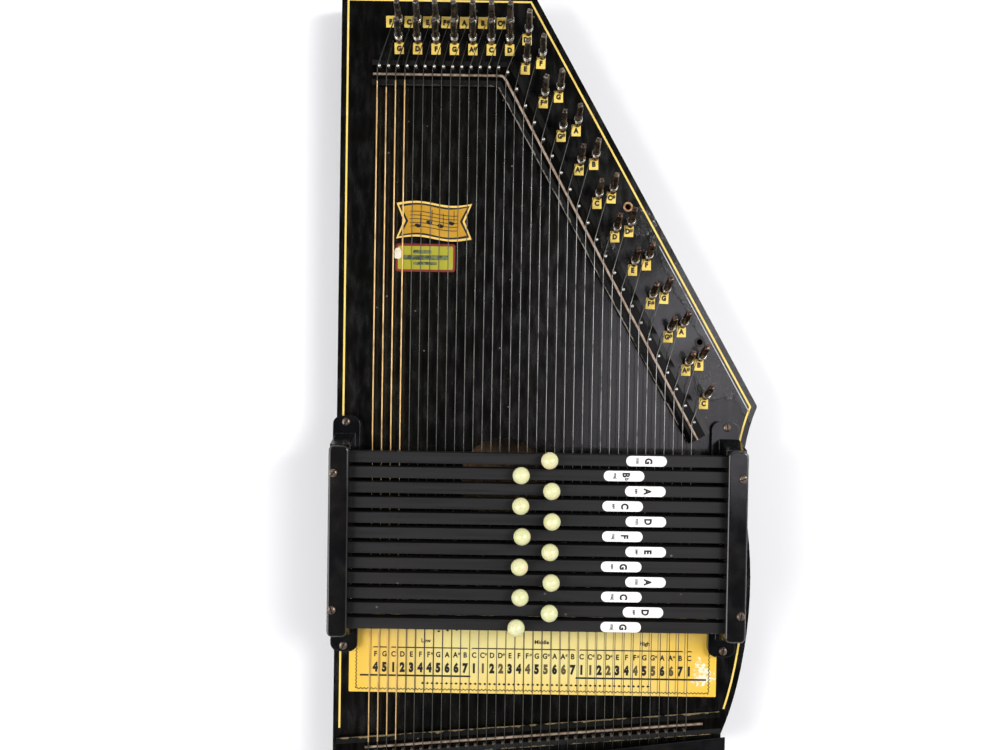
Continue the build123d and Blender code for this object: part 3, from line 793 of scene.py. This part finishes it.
for number in range(1, string_count + 1):
    name = f"string_{number:02d}"
    route = string_points(number)
    radius = string_radius(number)
    is_wound = number <= wound_string_count
    core = radius * wrap_core_share if is_wound else radius
    middle = [route[1].lerp(route[2], share) for share in (0.02, 0.25, 0.5, 0.75, 0.98)]
    line = route[:2] + middle + route[2:]
    shape = tube(line, [core] * len(line), 8)
    new_piece(name, [shape], steel_wire, replaced="strings", smooth=True)
    if is_wound:
        wrap = wrapped(route, radius, wrap_starts[number - 1], wrap_ends[number - 1])
        new_piece(name + "_winding", [wrap], bronze_wire, replaced="strings", smooth=True)


# ---- tuning pins
def pin_part(square_turn):
    """Round below, with four flats that taper towards a domed end."""
    sides = 32
    heights = [-pin_buried, 0.0, pin_square_start - 1.5]
    heights += [pin_square_start + step for step in range(11)]
    heights += [pin_exposed - 0.9, pin_exposed - 0.35, pin_exposed]
    points = []
    for height in heights:
        flat = min(max((height - pin_square_start + 1.0) / 3.0, 0.0), 1.0)
        taper = max(height - pin_square_start, 0.0) / (pin_exposed - pin_square_start)
        half = pin_flat_half - pin_taper * taper
        dome = {heights[-1]: 0.62, heights[-2]: 0.9}.get(height, 1.0)
        for cosine, sine in around(sides):
            squared = min(half / max(abs(cosine), abs(sine)), pin_radius)
            radius = (pin_radius * (1 - flat) + squared * flat) * dome
            points.append(Vector((radius * cosine, radius * sine, height)))
    return moved((points, rings_to_faces(len(heights), sides)), Matrix.Rotation(square_turn, 4, "Z"))


def coil_part(wire, turn):
    """Turns of string wire wound on a pin."""
    turn_steps = 20
    steps = coil_turns * turn_steps
    radius = pin_radius + wire + 0.02
    points = []
    for step in range(steps + 1):
        angle = turn + 2 * pi * step / turn_steps
        height = coil_bottom + wire + (coil_top - coil_bottom - 2 * wire) * step / steps
        points.append((radius * cos(angle), radius * sin(angle), height))
    return tube(points, [wire] * len(points), 8)


def label_shift(number):
    if number > row_pin_count:
        return slanted_label_shift
    return upper_row_label_shift if number % 2 else lower_row_label_shift


for number in range(1, string_count + 1):
    name = f"tuning_pin_{number:02d}"
    turning = joint_named(name + "_turn")
    foot = Vector(turning["pos_m"]) / MM
    lean = Vector((0, 0, 1)).rotation_difference(Vector(turning["axis"])).to_matrix().to_4x4()
    stand = Matrix.Translation(foot) @ lean
    shaft = moved(pin_part(random.uniform(-0.5, 0.5)), stand)
    coil = moved(coil_part(wire_show_radius, random.uniform(0, 6)), stand)
    new_piece(name + "_shaft", [shaft], pin_steel, name, name, smooth=True)
    new_piece(name + "_coil", [coil], coil_steel, name, name, smooth=True)
    tilt = random.uniform(-0.03, 0.03)
    shift_x, shift_y = label_shift(number)
    here = turned_at(foot.x + shift_x, foot.y + shift_y, tilt)
    half_x, half_y = pin_label_width / 2, pin_label_height / 2
    top = deck + pin_label_thickness
    paper = plate(rounded_rectangle(-half_x, half_x, -half_y, half_y, 0.25, 2), deck, top)
    new_piece(f"pin_label_{number:02d}", [moved(paper, here)], label_amber)
    note = pin_notes[number - 1]
    is_sharp = len(note) > 1
    parts = [lettering(note[0], 4.7, -0.9 if is_sharp else 0.0, -0.3, top, narrow=0.9, bold=0.075)]
    if is_sharp:
        parts.append(lettering("#", 3.6, 1.7, 0.6, top, bold=0.045))
    new_piece(f"pin_label_{number:02d}_letter", [moved(part, here) for part in parts], ink)


# ---- chord bars
def block_mesh(low, high):
    mesh = bmesh.new()
    place = Matrix.Translation((low + high) / 2) @ Matrix.Diagonal((*(high - low), 1.0))
    bmesh.ops.create_cube(mesh, size=1.0, matrix=place)
    return mesh


def finished_part(mesh):
    """The (points, faces) of a mesh that isn't needed any more."""
    mesh.verts.index_update()
    part = ([v.co.copy() for v in mesh.verts], [tuple(v.index for v in face.verts) for face in mesh.faces])
    mesh.free()
    return part


def bevelled_box(low, high):
    mesh = block_mesh(low, high)
    bmesh.ops.bevel(mesh, geom=mesh.edges[:], offset=bar_bevel, segments=2, affect="EDGES", profile=0.5)
    return finished_part(mesh)


def felt_part(low, high):
    """A felt block with soft, slightly fuzzy sides."""
    mesh = block_mesh(low, high)
    length = high.x - low.x
    middle = (low + high) / 2
    long_edges = [e for e in mesh.edges if abs(e.verts[0].co.x - e.verts[1].co.x) > length / 2]
    bmesh.ops.subdivide_edges(mesh, edges=long_edges, cuts=max(int(length / 1.6), 2), use_grid_fill=True)
    short_edges = [e for e in mesh.edges if abs(e.verts[0].co.x - e.verts[1].co.x) < 1e-4]
    bmesh.ops.subdivide_edges(mesh, edges=short_edges, cuts=2, use_grid_fill=True)
    for vertex in mesh.verts:
        if vertex.co.z < high.z - 0.1:
            towards = (middle - vertex.co).normalized()
            amount = 0.22 + 0.22 * noise.noise(vertex.co * 0.9)
            vertex.co += Vector((towards.x, towards.y * 2.2, max(towards.z, 0.0) * 0.4)) * amount
    return finished_part(mesh)


def button_part(low, high):
    """A domed button on its stem, filling its CAD box."""
    radius = (high.x - low.x) / 2
    top = high.z - low.z
    under = top * 0.36
    rim = top * 0.62
    stem = radius * 0.5
    profile = [(0.01, 0.0), (stem, 0.0), (stem, under - 0.3), (radius * 0.8, under)]
    profile += [(radius * 0.94, under + 0.5), (radius, under + 1.2), (radius, rim)]
    dome_steps = 12
    for step in range(1, dome_steps + 1):
        angle = pi / 2 * step / dome_steps
        width = 0.3 * (1 - sin(angle)) + 0.7 * cos(angle)
        profile.append((max(radius * width, 0.01), rim + (top - rim) * sin(angle)))
    return lathe(profile, 48, ((low.x + high.x) / 2, (low.y + high.y) / 2, low.z))


def spring_part(centre_x, centre_y, low, high):
    """A coil spring whose end turns lie flat."""
    steps = spring_turns * 16
    radius = spring_radius - spring_wire
    points = []
    for step in range(steps + 1):
        turns = spring_turns * step / steps
        angle = 2 * pi * turns
        rise = min(max((turns - spring_end_turn) / (spring_turns - 2 * spring_end_turn), 0.0), 1.0)
        flat = spring_wire * 2 * min(turns, spring_end_turn) / spring_end_turn
        height = low + spring_wire + (high - low - 2 * spring_wire) * rise
        height = max(height, low + spring_wire + flat * (1 - rise) * 0.5)
        points.append((centre_x + radius * cos(angle), centre_y + radius * sin(angle), height))
    return tube(points, [spring_wire] * len(points), 6)


def label_text(label, x, y, z):
    """A chord's letter, its flat sign and its kind, read from the right end of the bars."""
    chord, kind = label.split()
    quarter = -pi / 2
    letter_y = y if len(chord) == 1 else y + 0.8
    parts = [
        lettering(chord[0], 6.6, x + 1.2, letter_y, z, quarter, 0.85, 0.05),
        lettering(kind, 3.2, x - 6.0, y, z, quarter, 0.85, 0.03),
    ]
    if len(chord) > 1:
        parts.append(lettering(chord[1], 3.6, x + 1.8, y - 2.2, z, quarter, 1.0, 0.04))
    return parts


spring_boxes = solids_of("bar_springs")
spring_seat = joint_named("chord_bar_01_press")["deforming_nodes"][0]["fixed_end_z_m"]

for number in range(1, bar_count + 1):
    body = f"chord_bar_{number:02d}"
    boxes = solids_of(body)
    bar_box = max(boxes, key=lambda box: box[1].x - box[0].x)
    button_box = max(boxes, key=lambda box: box[1].z)
    felts = [felt_part(*box) for box in boxes if box is not bar_box and box is not button_box]
    y = (bar_box[0].y + bar_box[1].y) / 2
    x = (odd_bar_label_x if number % 2 else even_bar_label_x) + random.uniform(-0.8, 0.8)
    half_x, half_y = bar_label_length / 2, bar_label_width / 2
    edge = rounded_rectangle(x - half_x, x + half_x, y - half_y, y + half_y, 3.3)
    top = bar_box[1].z
    label_top = top + bar_label_thickness
    bar_pieces = [
        ("_bar", [bevelled_box(*bar_box)], bar_grey, False),
        ("_felts", felts, felt_black, True),
        ("_button", [button_part(*button_box)], button_pearl, True),
        ("_label", [plate(edge, top, label_top)], label_white, False),
        ("_label_text", label_text(chords[number - 1], x, y, label_top), ink, False),
    ]
    for ending, parts, look, smooth in bar_pieces:
        new_piece(body + ending, parts, look, body, body, smooth)
    nearby = [box for box in spring_boxes if abs((box[0].y + box[1].y) / 2 - y) < 1.0]
    for side, (low, high) in zip(("left", "right"), sorted(nearby, key=lambda box: box[0].x)):
        x = (low.x + high.x) / 2
        coil = spring_part(x, y, low.z, high.z)
        name = f"bar_spring_{number:02d}_{side}"
        spring = new_piece(name, [coil], spring_steel, replaced="bar_springs", smooth=True)
        gap = bar_box[0].z - spring_seat / MM
        anchor = (x * MM, y * MM, spring_seat)
        (gap - bar_travel) / gap
        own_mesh(spring)


# ---- pinstripe, seam and the painted shade in the screw slots
def inset_path(outline, distance):
    """The long sides of an outline moved inwards and joined where they meet."""
    sides = []
    for start, end in zip(outline, outline[1:] + outline[:1]):
        if dist(start, end) > 1.6:
            direction = Vector((end[0] - start[0], end[1] - start[1])).normalized()
            inwards = Vector((-direction.y, direction.x)) * distance
            sides.append((Vector(start) + inwards, direction))
    points = []
    for (start, direction), (other, other_direction) in zip(sides, sides[1:] + sides[:1]):
        turn = direction.cross(other_direction)
        if abs(turn) < 1e-3:
            points.append(other)
        else:
            points.append(start + direction * ((other - start).cross(other_direction) / turn))
    return points


def painted_band(points, width):
    """A flat painted band along open points on the soundboard, in short quads."""
    directions = [(end - start).normalized() for start, end in zip(points, points[1:])]
    left = []
    right = []
    for i, point in enumerate(points):
        before = directions[max(i - 1, 0)]
        after = directions[min(i, len(directions) - 1)]
        across = Vector((-(before + after).y, (before + after).x)).normalized()
        reach = width / 2 / max(across.dot(Vector((-after.y, after.x))), 0.3)
        left.append(point + across * reach)
        right.append(point - across * reach)
    quads = zip(right, right[1:], left[1:], left)
    return [painted(quad, deck) for quad in quads]


def stripe_points():
    """Round the soundboard in short steps, open at the lower end."""
    path = inset_path(outer_edge_of_top("soundboard"), stripe_inset)
    start = max(range(len(path)), key=lambda i: -path[i].x * 10 - path[i].y)
    path = path[start:] + path[:start]
    path = [path[0]] + path[:0:-1]
    points = []
    for point, following in zip(path, path[1:] + path[:1]):
        count = max(int((following - point).length / 12.0), 1)
        points.extend(point.lerp(following, i / count) for i in range(count))
    return [p for p in points if p.y >= (stripe_left_end_y if p.x < 0 else stripe_right_end_y)]


stripe_paint = printed("stripe_yellow", (0.78, 0.56, 0.13), (0.84, 0.7, 0.3), scale=120.0, roughness=0.4)
new_piece("pinstripe", painted_band(stripe_points(), stripe_width), stripe_paint)

# A pale scored line runs inside the stripe, down the slanted side.
slant = (Vector(slant_bottom) - Vector(slant_top)).normalized()
seam_points = [Vector(seam_start) + slant * seam_length * i / 12 for i in range(13)]
seam_pale = printed(
    "seam_pale", (0.5, 0.49, 0.51), (0.14, 0.13, 0.14), scale=70.0, low=0.5, high=0.7, amount=1.0
)
new_piece("slanted_seam_line", painted_band(seam_points, seam_width), seam_pale)


def screw_order(box):
    """Feet before covers, then left before right, and upper before lower."""
    return box[1].z > deck + 12.0, box[0].x > 0, -box[0].y


# The dark sheets in the screw slots are painted shade in the recesses.
slot_shade_paint = printed("slot_shade_paint", (0.006, 0.005, 0.004), (0.03, 0.02, 0.014), scale=400.0, roughness=0.9)
screw_boxes = [box for box in solids_of("screws_and_eyelets") if box[1].z > deck + 4.0]
for i, (box, angle) in enumerate(zip(sorted(screw_boxes, key=screw_order), slot_angles), 1):
    middle = (box[0] + box[1]) / 2
    slot_floor = box[1].z - screw_slot_depth
    shade_sheet = plate(rectangle(-2.6, 2.6, -0.4, 0.4), slot_floor - 0.02, slot_floor + 0.3)
    shade_sheet = moved(shade_sheet, turned_at(middle.x, middle.y, radians(angle)))
    new_piece(f"screw_slot_shade_{i}", [shade_sheet], slot_shade_paint)


# ---- note card
def ink_line(x_low, x_high, y, width):
    return painted(rectangle(x_low, x_high, y - width / 2, y + width / 2), card_z)


def brace_part(x_low, x_high):
    """A brace over a group of notes, turned down at its ends."""
    made = [ink_line(x_low + 1.2, x_high - 1.2, brace_y, 0.8)]
    for x, sign in ((x_low + 1.2, -1), (x_high - 1.2, 1)):
        corner = [(x, brace_y + 0.18), (x + sign * 1.3, brace_y - 1.4), (x, brace_y - 0.18)]
        made.append(painted(corner if sign < 0 else corner[::-1], card_z))
    return made


def music_note(x, y, size, z):
    """A plain note: an oval head and its stem."""
    head = []
    for step in range(16):
        angle = 2 * pi * step / 16
        head.append((x + size * cos(angle + 0.3), y + size * 0.68 * sin(angle)))
    stem_x = x + size * 0.82
    return [painted(head, z), painted(rectangle(stem_x, stem_x + size * 0.22, y, y + size * 4.2), z)]


def wavy_border():
    """A thin wavy line inside the card's left, lower and right edges."""
    made = []
    left_x, right_x = card_left + 5.2, card_right - 5.2
    top_y, low_y = card_top - 1.0, card_bottom + 2.4
    corners = [Vector(p) for p in ((left_x, top_y), (left_x, low_y), (right_x, low_y), (right_x, top_y))]
    for start, end in zip(corners, corners[1:]):
        count = int((end - start).length / 2.6)
        wave = (end - start) / count
        across = Vector((-wave.y, wave.x)).normalized()
        width = across * 0.34
        for i in range(2 * count):
            near = start + wave * i / 2
            far = start + wave * (i + 1) / 2
            bend = (near + far) / 2 + across * (-0.5 if i % 2 else 0.5)
            edge = [near - width, bend - width, far - width, far + width, bend + width, near + width]
            made.append(painted(edge, card_z))
    return made


card_edge = rounded_rectangle(card_left, card_right, card_bottom, card_top, 0.6, 3)
new_piece("note_card", [plate(card_edge, deck, card_z)], card_paper())

degrees = degrees_low + degrees_octave + degrees_octave + ["1"]
dark_parts = []
light_parts = []
for number in range(1, string_count + 1):
    x = string_x(number) + 3.0
    note = pin_notes[number - 1]
    is_sharp = len(note) > 1
    letter_x = x - 0.5 if is_sharp else x
    dark_parts.append(lettering(note[0], 5.2, letter_x, letters_y, card_z, narrow=0.88, bold=0.035))
    if is_sharp:
        dark_parts.append(lettering("#", 2.6, x + 2.0, letters_y + 1.0, card_z, bold=0.02))
    digit = lettering(degrees[number - 1], 8.6, x, degrees_y, card_z, narrow=0.74, bold=0.07)
    digit_parts = light_parts if is_sharp and number > len(degrees_low) else dark_parts
    digit_parts.append(digit)
    divider = rectangle(x - 3.3, x - 2.98, card_bottom + 1.0, card_top)
    dark_parts.append(plate(divider, card_z, card_z + paint_depth * 0.5))
for first, last in ((1, 2), (3, 11), (12, 23), (24, 35), (36, 36)):
    dark_parts.extend(brace_part(string_x(first) + 0.4, string_x(last) + 5.8))
dark_parts.append(ink_line(-128.5, string_x(12) + 0.6, rule_y, rule_width))
dark_parts.append(ink_line(string_x(24) - 1.0, 117.0, rule_y, rule_width))
for words, x in (("Low", -82.0), ("Middle", 0.0), ("High", 73.0)):
    dark_parts.append(lettering(words, 3.8, x, words_y, card_z, bold=0.03))
for i, number in enumerate(range(8, 19)):
    dark_parts.extend(music_note(string_x(number) + 3.0, -161.6 + 0.6 * i, 0.95, card_z))
dark_parts.extend(wavy_border())
for i in range(lozenge_count):
    x = -84.0 + 3.4 * i
    lozenge = [(x - 1.2, lozenge_y), (x, lozenge_y - 0.9), (x + 1.2, lozenge_y), (x, lozenge_y + 0.9)]
    dark_parts.append(painted(lozenge, card_z))
new_piece("note_card_print", dark_parts, ink)
new_piece("note_card_pale_digits", light_parts, pale_ink)


# ---- ribbon and label on the soundboard
def ribbon_edge(inset_x, inset_y):
    """A wavy swallow-tailed ribbon, that far inside the outer one."""
    x_low, x_high = ribbon_left + inset_x, ribbon_right - inset_x
    y_low, y_high = ribbon_low + inset_y, ribbon_high - inset_y
    steps = 16
    top = []
    low = []
    for step in range(steps + 1):
        x = x_low + (x_high - x_low) * step / steps
        rise = ribbon_wave * sin(2 * pi * step / steps)
        top.append((x, y_high + rise))
        low.append((x, y_low + rise))
    middle = (y_low + y_high) / 2
    return low + [(x_high - ribbon_notch, middle)] + top[::-1] + [(x_low + ribbon_notch, middle)]


def staff_line(y):
    """One line of the staff on the ribbon, which follows its wave."""
    points = []
    for i in range(9):
        x = -97.5 + 34.0 * i / 8
        rise = ribbon_wave * sin(2 * pi * (x - ribbon_left) / (ribbon_right - ribbon_left))
        points.append((x, y + rise))
    made = []
    for (x_low, y_low), (x_high, y_high) in zip(points, points[1:]):
        strip = [(x_low, y_low), (x_high, y_high), (x_high, y_high + 0.5), (x_low, y_low + 0.5)]
        made.append(painted(strip, deck + 3 * paint_depth))
    return made


def torn_edge():
    points = []
    for cosine, sine in around(24):
        size = 3.6 + 1.1 * noise.noise(Vector((cosine, sine, 3.7)) * 2.4)
        points.append((torn_middle[0] + size * 0.75 * cosine, torn_middle[1] + size * 1.1 * sine))
    return points


ribbon_gold = printed("ribbon_gold", (0.47, 0.245, 0.01), (0.6, 0.37, 0.05), scale=60.0, roughness=0.45)
ribbon_edge_gold = printed("ribbon_edge_gold", (0.78, 0.52, 0.13), (0.62, 0.36, 0.06), scale=90.0)
label_yellow = printed("label_yellow", (0.34, 0.315, 0.016), (0.44, 0.41, 0.06), scale=80.0)
label_red = printed("label_red", (0.17, 0.01, 0.009), (0.05, 0.008, 0.008), scale=150.0)
label_torn = printed("label_torn_paper", (0.72, 0.66, 0.52), (0.45, 0.38, 0.26), scale=200.0)
label_grey = printed(
    "label_grey_green", (0.035, 0.05, 0.025), (0.22, 0.24, 0.08), scale=250.0, low=0.4, high=0.6
)


def lay_down(name, edge, look, layer):
    """One flat layer of the ribbon or the label, on the layers below it."""
    z = deck + layer * paint_depth
    low = z - 0.01 if layer else z
    new_piece(name, [plate(edge, low, z + paint_depth)], look)


lay_down("ribbon_border", ribbon_edge(0.0, 0.0), ribbon_edge_gold, 0)
lay_down("ribbon_shadow", ribbon_edge(1.6, 1.4), ink, 1)
lay_down("ribbon_field", ribbon_edge(3.4, 2.7), ribbon_gold, 2)
ornament = []
for line in range(5):
    ornament.extend(staff_line(122.6 + 2.6 * line))
for x, y in ((-92.0, 124.8), (-84.0, 127.0), (-76.0, 124.6), (-68.5, 126.6)):
    ornament.extend(music_note(x, y, 2.1, deck + 3 * paint_depth))
new_piece("ribbon_ornament", ornament, ink)

lay_down("label_border", rounded_rectangle(-107.2, -65.2, 92.4, 112.1, 2.0), label_red, 0)
lay_down("label_field", rounded_rectangle(-105.6, -66.8, 94.0, 110.4, 1.0), label_yellow, 1)
stripes = []
stripe_places = [(106.4, -95.0, -82.0, 2.6), (102.4, -102.5, -70.0, 3.4), (98.3, -95.0, -78.0, 2.2)]
for y, x_low, x_high, height in stripe_places:
    edge = rounded_rectangle(x_low, x_high, y - height / 2, y + height / 2, height * 0.45, 3)
    stripes.append(painted(edge, deck + 2 * paint_depth))
new_piece("label_stripes", stripes, label_grey)
new_piece("label_torn_patch", [plate(torn_edge(), deck + 0.01, deck + 3 * paint_depth)], label_torn)

# ---- floor, lights and camera, in metres
floor_half = 12.0
floor_corners = [(x, y, 0) for x, y in rectangle(-floor_half, floor_half, -floor_half, floor_half)]
floor_mesh = bpy.data.meshes.new("floor")
floor_mesh.from_pydata(floor_corners, [], [(0, 1, 2, 3)])
floor_look = printed("studio_floor", (0.86, 0.86, 0.87), (0.84, 0.84, 0.85), scale=3.0, roughness=0.7)
floor_mesh.materials.append(floor_look.material)
floor = scene_object("floor", floor_mesh)
floor.location.z = cad_low.z - 0.0002
floor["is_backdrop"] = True


def soft_light(name, place, width, height, power, target=(0, 0, 0), colour=(1, 1, 1)):
    data = bpy.data.lights.new(name, "AREA")
    data.shape = "RECTANGLE"
    data.size = width
    data.size_y = height
    data.energy = power
    data.color = colour
    light = scene_object(name, data)
    light.location = place
    light.rotation_euler = (Vector(target) - Vector(place)).to_track_quat("-Z", "Y").to_euler()


soft_light("left_softbox", (-1.35, -0.35, 1.15), 1.4, 1.4, 25.0)
soft_light("right_softbox", (1.3, 0.25, 1.25), 0.9, 1.3, 18.0)
soft_light("overhead_panel", (0.36, -0.06, 1.55), 0.34, 0.4, 0.62, (0.1, 0, 0), (0.95, 0.9, 1.0))
soft_light("left_lamp", (-0.95, 0.15, 1.25), 0.11, 0.11, 1.7)
soft_light("right_lamp", (0.95, 0.42, 1.3), 0.11, 0.11, 2.1)
soft_light("glint_panel", (0.86, 0.36, 1.5), 0.34, 0.6, 7.5)
soft_light("side_panel", (0.42, 0.17, 1.55), 0.18, 0.36, 0.34, (0.1, 0.05, 0), (0.93, 0.9, 1.0))

# The sky is white at the horizon and nearly black overhead, where the gloss lacquer mirrors it.
world = bpy.data.worlds.new("studio")
scene.world = world
world.use_nodes = True
nodes = world.node_tree.nodes
links = world.node_tree.links
sky = nodes["Background"]
direction = nodes.new("ShaderNodeTexCoord")
split = nodes.new("ShaderNodeSeparateXYZ")
ramp = nodes.new("ShaderNodeValToRGB")
links.new(direction.outputs["Generated"], split.inputs[0])
links.new(split.outputs["Z"], ramp.inputs[0])
links.new(ramp.outputs["Color"], sky.inputs["Color"])
ramp.color_ramp.elements[0].position = 0.45
ramp.color_ramp.elements[0].color = (0.9, 0.9, 0.92, 1)
ramp.color_ramp.elements[1].position = 0.92
ramp.color_ramp.elements[1].color = (0.018, 0.017, 0.02, 1)
sky.inputs["Strength"].default_value = 0.98

camera_place = (-0.0327, 0.034, 0.741)
camera_roll = radians(0.9)
camera_tip = radians(1.09)
view = bpy.data.cameras.new("camera")
view.lens = 36.0
view.sensor_width = 36.0
view.clip_start = 0.05
view.clip_end = 60.0
camera = scene_object("camera", view)
flat_up = Vector((-sin(camera_roll), cos(camera_roll), 0))
right = Vector((cos(camera_roll), sin(camera_roll), 0))
up = flat_up * cos(camera_tip) - Vector((0, 0, sin(camera_tip)))
rotation = Matrix((right, up, right.cross(up))).transposed()
camera.matrix_world = Matrix.Translation(camera_place) @ rotation.to_4x4()
scene.camera = camera
scene.view_settings.view_transform = "Standard"

low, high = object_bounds()
